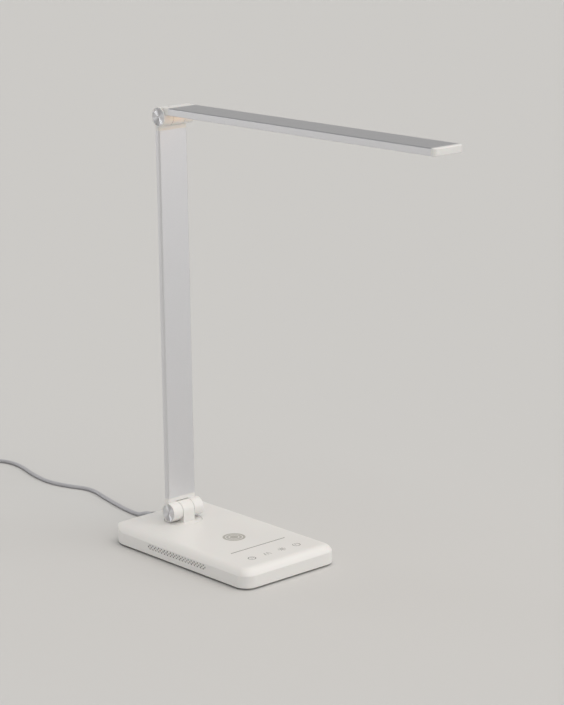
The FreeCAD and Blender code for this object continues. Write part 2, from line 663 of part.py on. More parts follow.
def arm_bracket():
    """Moulded end of the arm, built at the lower hinge: outer knuckles, web and two tongues."""
    pivot = LOWER_PIVOT_Z
    side = roller(HINGE_X, pivot, BARREL_RADIUS, KNUCKLE_INNER, KNUCKLE_OUTER)
    knuckles = mirrored_pair(side).Solids
    web = arm_prism(pivot, ARM_BOTTOM)
    depth = (ARM_BACK + ARM_FACE_WALL + TONGUE_FIT, ARM_FRONT - ARM_FACE_WALL - TONGUE_FIT)
    near_cell, wire_cell, far_cell = arm_cells()
    tongues = [box(depth, (low + TONGUE_FIT, high - TONGUE_FIT),
                   (ARM_BOTTOM - REACH, ARM_BOTTOM + ARM_TONGUE_LENGTH))
               for low, high in (near_cell, far_cell)]
    clearance = roller(HINGE_X, pivot, BARREL_RADIUS + KNUCKLE_CLEARANCE,
                       -KNUCKLE_INNER, KNUCKLE_INNER)
    wire_slot = box(depth, wire_cell, (pivot, ARM_BOTTOM + REACH))
    body = fused([web.cut([clearance, wire_slot])] + knuckles + tongues)
    cuts = []
    for sign in (-1, 1):
        for radius, start, end in (
                (CAP_DISC_RADIUS + CAP_FIT, CAP_SEAT, KNUCKLE_OUTER + REACH),
                (NUT_RECESS_RADIUS, NUT_SEAT, CAP_SEAT + REACH),
                (SHAFT_RADIUS + SHAFT_FIT, KNUCKLE_INNER - REACH, NUT_SEAT + REACH)):
            low, high = sorted((sign * start, sign * end))
            cuts.append(roller(HINGE_X, pivot, radius, low, high))
    return body.cut(cuts)


def turned_to_top(shape):
    """The same bracket turned over for the arm's upper end."""
    middle = (ARM_BOTTOM + ARM_TOP) / 2
    return shape.mirror(Vector(0, 0, middle), Vector(0, 0, 1))


def arm_wire():
    """Flat ribbon cable in the arm's middle cell."""
    back = ARM_BACK + ARM_FACE_WALL + TONGUE_FIT
    return box((back, back + ARM_WIRE_THICKNESS), (-ARM_WIRE_WIDTH / 2, ARM_WIRE_WIDTH / 2),
               (ARM_BOTTOM, ARM_TOP))


# ---------------------------------------------------------------- head

def head_slice(start, end):
    """Outer form of the head between two stations, round at its rims and at the tip's corners."""
    form = rounded_plate(2 * HEAD_LENGTH, HEAD_WIDTH, END_CAP_CORNER, HEAD_BOTTOM, HEAD_TOP)
    for level, radius in ((HEAD_TOP, HEAD_UPPER_EDGE), (HEAD_BOTTOM, HEAD_LOWER_EDGE)):
        form = form.makeFillet(radius, rim_edges(form, level))
    form.translate(Vector(HINGE_X, 0, 0))
    return form.common(box((start, end), (-HEAD_WIDTH, HEAD_WIDTH),
                           (HEAD_BOTTOM - REACH, HEAD_TOP + REACH)))


def head_tongue(start, end):
    """Tongue that fits the light cell of the head."""
    half = LIGHT_CELL_WIDTH / 2 - TONGUE_FIT
    return box((start, end), (-half, half),
               (LIGHT_CELL_BOTTOM + TONGUE_FIT, LIGHT_CELL_TOP - TONGUE_FIT))


def head_extrusion():
    """Aluminium channel, open below for the light."""
    half_cell, half_rebate = LIGHT_CELL_WIDTH / 2, DIFFUSER_WIDTH / 2
    ends = (HEAD_START - REACH, HEAD_END + REACH)
    cell = box(ends, (-half_cell, half_cell), (HEAD_BOTTOM - REACH, LIGHT_CELL_TOP))
    rebate = box(ends, (-half_rebate, half_rebate), (HEAD_BOTTOM - REACH, LIGHT_CELL_BOTTOM))
    return head_slice(HEAD_START, HEAD_END).cut([cell, rebate])


def head_bracket():
    """Moulded root of the head: middle knuckle, hollowed plate and tongue."""
    half = NECK_WIDTH / 2
    knuckle = roller(HINGE_X, UPPER_PIVOT_Z, BARREL_RADIUS, -half, half)
    plate = head_slice(HINGE_X, HEAD_START)
    beyond = HEAD_WIDTH / 2 + REACH
    clearance = BARREL_RADIUS + KNUCKLE_CLEARANCE
    hollows = [roller(HINGE_X, UPPER_PIVOT_Z, clearance, half, beyond),
               roller(HINGE_X, UPPER_PIVOT_Z, clearance, -beyond, -half)]
    tongue = head_tongue(HEAD_START - REACH, HEAD_START + HEAD_TONGUE_LENGTH)
    body = fused([plate.cut(hollows), knuckle, tongue])
    return body.cut(roller(HINGE_X, UPPER_PIVOT_Z, BUSH_RADIUS + SHAFT_FIT,
                           -half - REACH, half + REACH))


def head_end_cap():
    """Moulded tip of the head with two round corners."""
    tongue = head_tongue(HEAD_END - END_CAP_TONGUE, HEAD_END + REACH)
    return fused([head_slice(HEAD_END, HEAD_TIP), tongue])


def diffuser():
    """Opal strip that closes the light channel."""
    width = DIFFUSER_WIDTH - 2 * DIFFUSER_FIT
    height = DIFFUSER_REBATE + DIFFUSER_PROUD
    section = chamfered_slab(width, height, DIFFUSER_CHAMFER, 0.0)
    corners = list(dict.fromkeys(section))
    points = [(HEAD_START + DIFFUSER_FIT, y, HEAD_BOTTOM - DIFFUSER_PROUD + z) for y, z in corners]
    return prism(points, (HEAD_END - HEAD_START - 2 * DIFFUSER_FIT, 0, 0))


def led_span():
    """First and last station of the LED board."""
    return (HEAD_START + HEAD_TONGUE_LENGTH + TONGUE_FIT, HEAD_END - END_CAP_TONGUE - TONGUE_FIT)


def led_board():
    """Long aluminium-backed board against the top of the light cell."""
    half = LED_BOARD_WIDTH / 2
    return box(led_span(), (-half, half), (LIGHT_CELL_TOP - LED_BOARD_THICKNESS, LIGHT_CELL_TOP))


def leds():
    """Row of LEDs under the board."""
    start, end = led_span()
    pitch = (end - start) / LED_COUNT
    top = LIGHT_CELL_TOP - LED_BOARD_THICKNESS
    chips = []
    for index in range(LED_COUNT):
        x = start + (index + 0.5) * pitch
        chips.append(box((x - LED_WIDTH / 2, x + LED_WIDTH / 2),
                         (-LED_LENGTH / 2, LED_LENGTH / 2), (top - LED_HEIGHT, top)))
    return Part.makeCompound(chips)


# ---------------------------------------------------------------- power lead

def plug_face():
    """Station of the plug's shoulder outside the back wall."""
    return BACK_WALL - PLUG_SEAT_GAP


def plug_tail():
    """Station where the lead leaves its own plug."""
    return plug_face() - PLUG_GRIP_LENGTH - PLUG_RELIEF_LENGTH


def lead_plug():
    """Moulded grip of the lead's plug with a ribbed, tapered strain relief."""
    grip = rod(INLET_Y, INLET_Z, PLUG_GRIP_RADIUS, plug_face() - PLUG_GRIP_LENGTH, plug_face())
    relief = Part.makeCone(PLUG_TAIL_RADIUS, PLUG_GRIP_RADIUS, PLUG_RELIEF_LENGTH,
                           Vector(plug_tail(), INLET_Y, INLET_Z), Vector(1, 0, 0))
    body = fused([grip, relief])
    step = PLUG_RELIEF_LENGTH / (PLUG_RIB_COUNT + 1)
    grooves = []
    for index in range(PLUG_RIB_COUNT):
        x = plug_tail() + (index + 1) * step
        radius = PLUG_TAIL_RADIUS + (PLUG_GRIP_RADIUS - PLUG_TAIL_RADIUS) * (index + 1) \
            / (PLUG_RIB_COUNT + 1)
        grooves.append(ring(rod(INLET_Y, INLET_Z, radius + REACH, x, x + PLUG_RIB_WIDTH),
                            rod(INLET_Y, INLET_Z, radius - PLUG_RIB_DEPTH, x - REACH,
                                x + PLUG_RIB_WIDTH + REACH)))
    return body.cut(grooves)


def lead_plug_barrel():
    """Metal barrel of the lead's plug, inside the inlet."""
    return rod(INLET_Y, INLET_Z, PLUG_BARREL_RADIUS, plug_face(), plug_face() + PLUG_BARREL_LENGTH)


def coil_turns_per_layer():
    """Turns in each layer of the coil, from where the lead runs on to where its tail leaves."""
    turns = CORD_COIL_WHOLE_TURNS + (CORD_LEAVE_DEG - CORD_ENTRY_DEG) / 360
    return turns / CORD_COIL_LAYERS


def coil_outer_radius():
    """Radius of the coil's outermost turn, on the cord's middle line."""
    return CORD_COIL_MID_RADIUS + coil_turns_per_layer() / 2 * CORD_DIAMETER


def coil_point(angle_deg, height):
    """Point on the coil's outermost turn."""
    angle = math.radians(angle_deg)
    radius = coil_outer_radius()
    return Vector(CORD_COIL_X + radius * math.cos(angle),
                  CORD_COIL_Y + radius * math.sin(angle), height)


def rounded_path(corners):
    """Straight runs joined by the largest tangent arcs, with each arc's radius printed."""
    edges, here = [], corners[0]
    for before, corner, after in zip(corners, corners[1:], corners[2:]):
        back, ahead = before - corner, after - corner
        half_turn = (math.pi - back.getAngle(ahead)) / 2
        tangent = ARC_SHARE * min(back.Length, ahead.Length)
        radius = tangent / math.tan(half_turn)
        print(f"  lead arc radius {radius:7.1f}  turn {math.degrees(2 * half_turn):5.1f} deg")
        start = corner + back.normalize() * tangent
        end = corner + ahead.normalize() * tangent
        to_middle = (start + end) * 0.5 - corner
        rise = radius / math.cos(half_turn) - radius
        middle = corner + to_middle.normalize() * rise
        edges += [Part.LineSegment(here, start).toShape(), Part.Arc(start, middle, end).toShape()]
        here = end
    edges.append(Part.LineSegment(here, corners[-1]).toShape())
    return Part.Wire(edges)


def tube(path):
    """Round cord along a path."""
    first = path.Edges[0]
    circle = Part.Circle(path.Vertexes[0].Point, first.tangentAt(first.FirstParameter), CORD_RADIUS)
    return path.makePipeShell([Part.Wire([circle.toShape()])], True, True)


def cord_lead():
    """Lead from its plug to the coil."""
    corners = [Vector(plug_tail(), INLET_Y, INLET_Z)] + [Vector(*point) for point in CORD_ROUTE]
    corners.append(coil_point(CORD_ENTRY_DEG, CORD_Z))
    path = rounded_path(corners)
    body = tube(path)
    wound = 2 * math.pi * CORD_COIL_MID_RADIUS * coil_turns_per_layer() * CORD_COIL_LAYERS
    print(f"  lead stretch {path.Length:.1f}  tube volume over section x length "
          f"{body.Volume / (math.pi * CORD_RADIUS ** 2 * path.Length):.4f}")
    print(f"  whole lead {path.Length + wound + TAIL_LENGTH:.0f}")
    return body


def coil_height():
    """Height of the stacked turns."""
    return CORD_COIL_LAYERS * CORD_DIAMETER + CORD_FLOOR_GAP


def cord_coil():
    """Outer form of the coil in which the rest of the lead is put away."""
    outer = coil_outer_radius() + CORD_RADIUS
    inner = 2 * CORD_COIL_MID_RADIUS - outer
    top = coil_height()
    return ring(post(CORD_COIL_X, CORD_COIL_Y, outer, CORD_FLOOR_GAP, top),
                post(CORD_COIL_X, CORD_COIL_Y, inner, CORD_FLOOR_GAP - REACH, top + REACH))


def tail_direction():
    """Direction in which the tail leaves the coil."""
    angle = math.radians(CORD_LEAVE_DEG)
    return Vector(-math.sin(angle), math.cos(angle), 0)


def tail_height():
    """Level of the tail and of the far plug's middle."""
    return CORD_FLOOR_GAP + USB_BODY_HEIGHT / 2


def cord_tail():
    """Short straight end of the lead between coil and far plug."""
    return Part.makeCylinder(CORD_RADIUS, TAIL_LENGTH, coil_point(CORD_LEAVE_DEG, tail_height()),
                             tail_direction())


def laid_at_tail(shape, distance):
    """Move a shape built along +X from the origin to its place behind the tail."""
    shape.rotate(Vector(0, 0, 0), Vector(0, 0, 1), CORD_LEAVE_DEG + 90)
    start = coil_point(CORD_LEAVE_DEG, tail_height()) + tail_direction() * distance
    shape.translate(start)
    return shape


def usb_plug():
    """Moulded body and strain relief of the far plug."""
    half_width, half_height = USB_BODY_WIDTH / 2, USB_BODY_HEIGHT / 2
    relief = Part.makeCone(CORD_RADIUS + PLUG_RIB_DEPTH, half_height - PLUG_RIB_DEPTH,
                           USB_RELIEF_LENGTH + REACH, Vector(0, 0, 0), Vector(1, 0, 0))
    start = USB_RELIEF_LENGTH
    body = box((start, start + USB_BODY_LENGTH), (-half_width, half_width),
               (-half_height, half_height))
    long_edges = [edge for edge in body.Edges
                  if abs(edge.Vertexes[0].X - edge.Vertexes[-1].X) > TOLERANCE]
    body = body.makeFillet(USB_BODY_CORNER, long_edges)
    whole = fused([relief, body])
    mouth = start + USB_BODY_LENGTH
    pocket = box((mouth - USB_SHELL_SUNK, mouth + REACH),
                 (-USB_SHELL_WIDTH / 2, USB_SHELL_WIDTH / 2),
                 (-USB_SHELL_HEIGHT / 2, USB_SHELL_HEIGHT / 2))
    return laid_at_tail(whole.cut(pocket), TAIL_LENGTH)


def usb_shell():
    """Metal shell and contact tongue of the far plug."""
    start = USB_RELIEF_LENGTH + USB_BODY_LENGTH - USB_SHELL_SUNK
    end = start + USB_SHELL_SUNK + USB_SHELL_LENGTH
    half_width, half_height = USB_SHELL_WIDTH / 2, USB_SHELL_HEIGHT / 2
    shell = box((start, end), (-half_width, half_width), (-half_height, half_height))
    inner_width, inner_height = half_width - USB_SHELL_WALL, half_height - USB_SHELL_WALL
    hollow = box((start + USB_SHELL_SUNK, end + REACH), (-inner_width, inner_width),
                 (USB_TONGUE_HEIGHT - inner_height, inner_height))
    return laid_at_tail(shell.cut(hollow), TAIL_LENGTH)


# ---------------------------------------------------------------- all sub-parts

def build():
    """Write every sub-part of the lamp."""
    os.makedirs("parts", exist_ok=True)
    save("base_top_cover", base_top_cover())
    save("base_bottom_cover", base_bottom_cover())
    save("non_slip_pad", non_slip_pad())
    save("base_screws", base_screws())
    save("ballast_plate", ballast_plate())
    save("main_board", main_board())
    save("board_screws", board_screws())
    save("board_parts", board_parts())
    save("charging_coil", charging_coil())
    save("coil_ferrite", coil_ferrite())
    save("touch_board", touch_board())
    save("power_inlet", power_inlet())
    save("turntable", turntable())
    save("swivel_washer", swivel_washer())
    save("swivel_spring", swivel_spring())
    save("swivel_nut", swivel_nut())
    for level, pivot_z in (("lower", LOWER_PIVOT_Z), ("upper", UPPER_PIVOT_Z)):
        save(level + "_hinge_shaft", hinge_shaft(pivot_z))
        save(level + "_hinge_bush", hinge_bush(pivot_z))
        save(level + "_friction_washers",
             hinge_washer_pair(pivot_z, FRICTION_WASHER_RADIUS, NECK_WIDTH / 2, KNUCKLE_GAP))
        save(level + "_spring_washers",
             hinge_washer_pair(pivot_z, SPRING_WASHER_RADIUS, NUT_SEAT, SPRING_WASHER_THICKNESS))
        save(level + "_hinge_nuts", hinge_nuts(pivot_z))
        save(level + "_hinge_caps", hinge_caps(pivot_z))
    bracket = arm_bracket()
    save("arm_lower_bracket", bracket)
    save("arm_extrusion", arm_extrusion())
    save("arm_wire", arm_wire())
    save("arm_upper_bracket", turned_to_top(bracket))
    save("head_bracket", head_bracket())
    save("head_extrusion", head_extrusion())
    save("led_board", led_board())
    save("leds", leds())
    save("diffuser", diffuser())
    save("head_end_cap", head_end_cap())
    save("lead_plug", lead_plug())
    save("lead_plug_barrel", lead_plug_barrel())
    save("cord_lead", cord_lead())
    save("cord_coil", cord_coil())
    save("cord_tail", cord_tail())
    save("usb_plug", usb_plug())
    save("usb_shell", usb_shell())


build()
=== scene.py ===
"""Looks of a folding LED desk lamp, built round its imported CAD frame.

All lengths are metres in the frame of the CAD: +X runs along the base towards the tip of the
lamp head, +Y across the base, +Z up from the table.
"""
import json
import logging
import math
from dataclasses import dataclass, field, replace
from enum import Enum
from typing import Callable, Iterable, Mapping, Sequence

import bmesh
import bpy
from mathutils import Matrix, Vector


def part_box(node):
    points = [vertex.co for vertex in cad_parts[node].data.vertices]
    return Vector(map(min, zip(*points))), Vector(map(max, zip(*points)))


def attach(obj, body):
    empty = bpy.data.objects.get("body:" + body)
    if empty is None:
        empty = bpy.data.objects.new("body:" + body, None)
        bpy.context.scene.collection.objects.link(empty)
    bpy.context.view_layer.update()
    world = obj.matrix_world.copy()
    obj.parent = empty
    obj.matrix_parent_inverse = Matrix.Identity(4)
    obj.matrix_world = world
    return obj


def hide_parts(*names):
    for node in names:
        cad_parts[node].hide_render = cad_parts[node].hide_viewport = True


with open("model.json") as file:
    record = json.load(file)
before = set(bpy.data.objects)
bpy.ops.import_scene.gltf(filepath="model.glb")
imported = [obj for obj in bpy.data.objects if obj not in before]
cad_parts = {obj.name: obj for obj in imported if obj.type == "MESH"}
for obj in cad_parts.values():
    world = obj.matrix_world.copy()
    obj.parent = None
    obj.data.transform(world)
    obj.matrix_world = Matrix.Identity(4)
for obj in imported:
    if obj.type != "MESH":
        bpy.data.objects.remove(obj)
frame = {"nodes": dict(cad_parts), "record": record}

logging.basicConfig(level=logging.INFO, format="%(message)s")
log = logging.getLogger("lamp")

MM = 0.001
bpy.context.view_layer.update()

Point = tuple[float, float, float]
Plan = tuple[float, float]   # a point seen from above, or one of a turned section
Span = tuple[float, float]   # two ends of a range, or two sizes that belong together
Colour = tuple[float, float, float]
Line = list[Plan]
Socket = bpy.types.NodeSocket
Mesh = bmesh.types.BMesh


# ---------------------------------------------------------------- finishes

class Effect(Enum):
    """Fine structure of a surface, made by a shared node group."""

    MOULDED = "moulded grain"
    BLASTED = "blasted grain"
    SPUN = "spun grooves"
    PLAIN = "smooth skin"


@dataclass(frozen=True)
class Finish:
    """What a material looks like.

    Args:
        colour: base colour, linear RGB.
        roughness: middle roughness.
        effect: node group that gives the fine structure.
        grain: size of the fine structure in metres.
        relief: depth of the fine structure in metres.
        spread: how far roughness swings round its middle.
        mottle: share by which the colour darkens in places.
        metallic: 0 for plastic, 1 for metal.
        edge: radius in metres by which sharp edges look broken.
        coat: strength of a clear skin.
        anisotropy: stretch of highlights round the piece's own axis.
        through: share of light that scatters under the skin.
        glow: brightness of the piece's own light.
        glow_colour: colour of that light.
        painted_shade_reach: reach in metres over which painted shade darkens the colour of holes
            and seams, 0 for none.
    """

    colour: Colour
    roughness: float
    effect: Effect = Effect.MOULDED
    grain: float = 0.4 * MM
    relief: float = 0.01 * MM
    spread: float = 0.06
    mottle: float = 0.04
    metallic: float = 0.0
    edge: float = 0.15 * MM
    coat: float = 0.0
    anisotropy: float = 0.0
    through: float = 0.0
    glow: float = 0.0
    glow_colour: Colour = (1.0, 0.53, 0.19)
    painted_shade_reach: float = 0.0


FINISHES: dict[str, Finish] = {
    "white_plastic": Finish((0.82, 0.81, 0.79), 0.36, coat=0.12, through=0.05, edge=0.25 * MM),
    "anodised": Finish((0.80, 0.80, 0.82), 0.40, Effect.BLASTED, grain=0.5 * MM,
                       relief=0.03 * MM, spread=0.12, mottle=0.14, metallic=1.0, edge=0.2 * MM),
    "spun_metal": Finish((0.80, 0.80, 0.82), 0.48, Effect.SPUN, grain=0.28 * MM,
                         relief=0.004 * MM, spread=0.04, metallic=1.0, anisotropy=0.96,
                         edge=0.1 * MM),
    "pad_rubber": Finish((0.035, 0.035, 0.038), 0.75, grain=0.6 * MM, relief=0.05 * MM),
    "steel": Finish((0.50, 0.51, 0.53), 0.35, metallic=1.0),
    "circuit_board": Finish((0.02, 0.12, 0.05), 0.35, Effect.PLAIN),
    "component_black": Finish((0.02, 0.02, 0.022), 0.45),
    "copper": Finish((0.72, 0.34, 0.18), 0.3, Effect.SPUN, grain=0.5 * MM, relief=0.05 * MM,
                     metallic=1.0),
    "ferrite": Finish((0.03, 0.03, 0.032), 0.55),
    "nylon": Finish((0.76, 0.74, 0.68), 0.45),
    "bush_brass": Finish((0.78, 0.60, 0.28), 0.3, metallic=1.0),
    "led_board": Finish((0.85, 0.85, 0.83), 0.4, Effect.PLAIN),
    "led": Finish((0.90, 0.72, 0.25), 0.25, Effect.PLAIN),
    "opal": Finish((0.80, 0.72, 0.58), 0.42, grain=0.5 * MM, through=0.2, glow=1.7),
    "cable": Finish((0.47, 0.47, 0.49), 0.48, grain=0.5 * MM, relief=0.012 * MM, spread=0.08),
    "plug_plastic": Finish((0.30, 0.30, 0.32), 0.5, grain=0.4 * MM, relief=0.02 * MM),
    "plug_metal": Finish((0.75, 0.75, 0.77), 0.22, Effect.PLAIN, metallic=1.0),
    "print_grey": Finish((0.46, 0.445, 0.41), 0.5, Effect.PLAIN, edge=0.0),
    "print_dark": Finish((0.18, 0.175, 0.165), 0.5, Effect.PLAIN, edge=0.0),
}
# white plastic with painted shade that darkens its vent holes and seams
FINISHES["vented_plastic_painted_shade"] = replace(FINISHES["white_plastic"], painted_shade_reach=1.6 * MM)

# CAD nodes that wear another finish than their slot's
OWN_FINISHES: dict[str, str] = {"base_top_cover": "vented_plastic_painted_shade"}

SCATTER_DEPTH = 1.0 * MM      # how deep light scatters under a skin
ACROSS_GROOVES = 0.25         # turn that stretches highlights across the grooves


class NodePen:
    """Adds nodes to a node tree and links them.

    Args:
        tree: the node tree that is drawn in.
    """

    def __init__(self, tree: bpy.types.NodeTree) -> None:
        """Keep the tree that is drawn in."""
        self.tree = tree

    def add(self, kind: str, inputs: Mapping[str | int, object] | None = None,
            **settings: object) -> bpy.types.Node:
        """Add one node, set its properties and link or fill its inputs.

        Args:
            kind: the node's type without the leading ShaderNode.
            inputs: input name or number to a value or to an output socket.
            **settings: properties of the node itself.

        Returns:
            The new node.
        """
        node = self.tree.nodes.new("ShaderNode" + kind)
        for name, value in settings.items():
            setattr(node, name, value)
        for key, value in (inputs or {}).items():
            if isinstance(value, Socket):
                self.tree.links.new(value, node.inputs[key])
            else:
                node.inputs[key].default_value = value
        return node

    def group(self, tree: bpy.types.NodeTree, values: Mapping[str, float]) -> bpy.types.Node:
        """Place a node group.

        Args:
            tree: the group's own tree.
            values: input name to its value.

        Returns:
            The new node.
        """
        node = self.add("Group")
        node.node_tree = tree
        for label, value in values.items():
            node.inputs[label].default_value = value
        return node

    def maths(self, operation: str, first: Socket | float, second: Socket | float = 0.0,
              clamped: bool = False) -> Socket:
        """Add a maths node.

        Args:
            operation: name of the sum.
            first: its first value.
            second: its second value.
            clamped: whether the result stays between 0 and 1.

        Returns:
            The socket with the result.
        """
        return self.add("Math", {0: first, 1: second}, operation=operation,
                        use_clamp=clamped).outputs[0]

    def blend(self, factor: Socket, first: Colour, second: Colour) -> Socket:
        """Add a node that mixes two colours.

        Args:
            factor: share of the second colour.
            first: colour at a share of 0.
            second: colour at a share of 1.

        Returns:
            The socket with the mixed colour.
        """
        node = self.add("Mix", data_type="RGBA")
        ends = [socket for socket in node.inputs if socket.type == "RGBA"]
        ends[0].default_value = (*first, 1)
        ends[1].default_value = (*second, 1)
        self.tree.links.new(factor, node.inputs[0])
        return next(socket for socket in node.outputs if socket.type == "RGBA")


def new_group(name: str, inputs: Iterable[str], outputs: Iterable[tuple[str, str]]
              ) -> tuple[NodePen, bpy.types.Node, bpy.types.Node]:
    """Start a node group with float inputs and typed outputs.

    Args:
        name: the group's name.
        inputs: names of its float inputs.
        outputs: (name, socket type) of its outputs.

    Returns:
        The pen, the group's input node and its output node.
    """
    group = bpy.data.node_groups.new(name, "ShaderNodeTree")
    for label in inputs:
        group.interface.new_socket(label, in_out="INPUT", socket_type="NodeSocketFloat")
    for label, kind in outputs:
        group.interface.new_socket(label, in_out="OUTPUT", socket_type=kind)
    return NodePen(group), group.nodes.new("NodeGroupInput"), group.nodes.new("NodeGroupOutput")


EFFECT_INPUTS = ("Grain", "Relief", "Edge")
EFFECT_OUTPUTS = (("Mask", "NodeSocketFloat"), ("Normal", "NodeSocketVector"))
EDGE_SAMPLES = 4              # rays that look for a sharp edge
CREVICE_SAMPLES = 8           # rays that look for walls close by
MOULDED_CLOUDS = 22.0         # broad clouds per metre of a moulded part
PLAIN_CLOUDS = 60.0           # broad clouds per metre of a smooth skin
PIT_SHARE = 0.5               # height of a blasted surface's small pits
SWELL_SHARE = 0.9             # height of its coarser swells
SWELL_SCALE = 0.3             # how many swells there are to one pit
LAMP_RIPPLE = 0.12            # half the light that is lost half-way between two lamps
RIM_LOSS = 0.45               # loss of light from the middle of a diffuser to its rim
OPEN_SKY = (0.30, 0.80)       # shares of free sight that count as closed and as open
CREVICE_SHADE = 0.10          # painted shade: what a closed hole or seam keeps of its colour


def finish_effect(pen: NodePen, given: bpy.types.Node, result: bpy.types.Node, height: Socket,
                  mask: Socket) -> None:
    """Close an effect group: relief over a broken edge, and the mask.

    Args:
        pen: the pen of the group.
        given: the group's input node.
        result: the group's output node.
        height: socket with the height from 0 to 1.
        mask: socket with the mask from 0 to 1.
    """
    edge = pen.add("Bevel", {"Radius": given.outputs["Edge"]}, samples=EDGE_SAMPLES)
    bump = pen.add("Bump", {"Height": height, "Distance": given.outputs["Relief"],
                            "Normal": edge.outputs["Normal"], "Strength": 1.0})
    pen.tree.links.new(mask, result.inputs["Mask"])
    pen.tree.links.new(bump.outputs["Normal"], result.inputs["Normal"])


def noise(pen: NodePen, place: Socket, scale: Socket | float, detail: float = 2.0) -> Socket:
    """Add a noise texture.

    Args:
        pen: the pen of the tree.
        place: where it is read.
        scale: cells per metre.
        detail: how many finer layers it has.

    Returns:
        The socket with its value.
    """
    node = pen.add("TexNoise", {"Vector": place, "Scale": scale, "Detail": detail})
    return node.outputs[0]


def moulded_group() -> bpy.types.NodeTree:
    """Eroded grain of a moulded part, with broad soft clouds as its mask.

    Returns:
        The node group.
    """
    pen, given, result = new_group("moulded", EFFECT_INPUTS, EFFECT_OUTPUTS)
    place = pen.add("TexCoord").outputs["Object"]
    fine = noise(pen, place, pen.maths("DIVIDE", 1.0, given.outputs["Grain"]))
    clouds = noise(pen, place, MOULDED_CLOUDS, detail=3.0)
    finish_effect(pen, given, result, fine, clouds)
    return pen.tree


def blasted_group() -> bpy.types.NodeTree:
    """Sand-blasted metal: small cells of two sizes that glint.

    Returns:
        The node group.
    """
    pen, given, result = new_group("blasted", EFFECT_INPUTS, EFFECT_OUTPUTS)
    place = pen.add("TexCoord").outputs["Object"]
    scale = pen.maths("DIVIDE", 1.0, given.outputs["Grain"])
    pits = pen.add("TexVoronoi", {"Vector": place, "Scale": scale}).outputs["Distance"]
    swells = noise(pen, place, pen.maths("MULTIPLY", scale, SWELL_SCALE), detail=1.0)
    height = pen.maths("ADD", pen.maths("MULTIPLY", pits, PIT_SHARE),
                       pen.maths("MULTIPLY", swells, SWELL_SHARE))
    finish_effect(pen, given, result, height, noise(pen, place, scale, detail=1.0))
    return pen.tree


def spun_group() -> bpy.types.NodeTree:
    """Fine rings turned round the piece's own Y axis.

    Returns:
        The node group.
    """
    pen, given, result = new_group("spun", EFFECT_INPUTS, EFFECT_OUTPUTS)
    place = pen.add("SeparateXYZ", {0: pen.add("TexCoord").outputs["Object"]})
    squares = pen.maths("ADD", pen.maths("MULTIPLY", place.outputs["X"], place.outputs["X"]),
                        pen.maths("MULTIPLY", place.outputs["Z"], place.outputs["Z"]))
    turns = pen.maths("DIVIDE", pen.maths("SQRT", squares), given.outputs["Grain"])
    wave = pen.maths("SINE", pen.maths("MULTIPLY", turns, math.tau))
    height = pen.maths("ADD", pen.maths("MULTIPLY", wave, 0.5), 0.5)
    finish_effect(pen, given, result, height, height)
    return pen.tree


def plain_group() -> bpy.types.NodeTree:
    """Smooth skin with only broad unevenness.

    Returns:
        The node group.
    """
    pen, given, result = new_group("plain", EFFECT_INPUTS, EFFECT_OUTPUTS)
    place = pen.add("TexCoord").outputs["Object"]
    clouds = noise(pen, place, PLAIN_CLOUDS)
    finish_effect(pen, given, result, clouds, clouds)
    return pen.tree


def glow_group() -> bpy.types.NodeTree:
    """Brightness of a diffuser over a row of lamps along X: strongest over each lamp.

    Returns:
        The node group.
    """
    pen, given, result = new_group("lamp_row", ("First", "Pitch", "Reach"),
                                   (("Mask", "NodeSocketFloat"),))
    place = pen.add("SeparateXYZ", {0: pen.add("TexCoord").outputs["Object"]})
    along = pen.maths("SUBTRACT", place.outputs["X"], given.outputs["First"])
    turns = pen.maths("MULTIPLY", pen.maths("DIVIDE", along, given.outputs["Pitch"]), math.tau)
    ripple = pen.maths("MULTIPLY", pen.maths("COSINE", turns), LAMP_RIPPLE)
    wave = pen.maths("ADD", ripple, 1.0 - LAMP_RIPPLE)
    aside = pen.maths("DIVIDE", place.outputs["Y"], given.outputs["Reach"])
    loss = pen.maths("MULTIPLY", pen.maths("POWER", aside, 2.0), RIM_LOSS)
    fall = pen.maths("SUBTRACT", 1.0, loss)
    pen.tree.links.new(pen.maths("MULTIPLY", wave, fall), result.inputs["Mask"])
    return pen.tree


def painted_crevice_shade_group() -> bpy.types.NodeTree:
    """Painted shade of holes and seams, multiplied into a colour: 1 in the open, small where walls
    stand close together.

    Returns:
        The node group.
    """
    pen, given, result = new_group("painted_crevice_shade", ("Reach",), (("Open", "NodeSocketFloat"),))
    sky = pen.add("AmbientOcclusion", {"Distance": given.outputs["Reach"]},
                  samples=CREVICE_SAMPLES)
    shade = pen.add("MapRange", {"Value": sky.outputs["AO"], "From Min": OPEN_SKY[0],
                                 "From Max": OPEN_SKY[1], "To Min": CREVICE_SHADE, "To Max": 1.0})
    pen.tree.links.new(shade.outputs[0], result.inputs["Open"])
    return pen.tree


EFFECT_BUILDERS: dict[Effect, Callable[[], bpy.types.NodeTree]] = {
    Effect.MOULDED: moulded_group,
    Effect.BLASTED: blasted_group,
    Effect.SPUN: spun_group,
    Effect.PLAIN: plain_group,
}


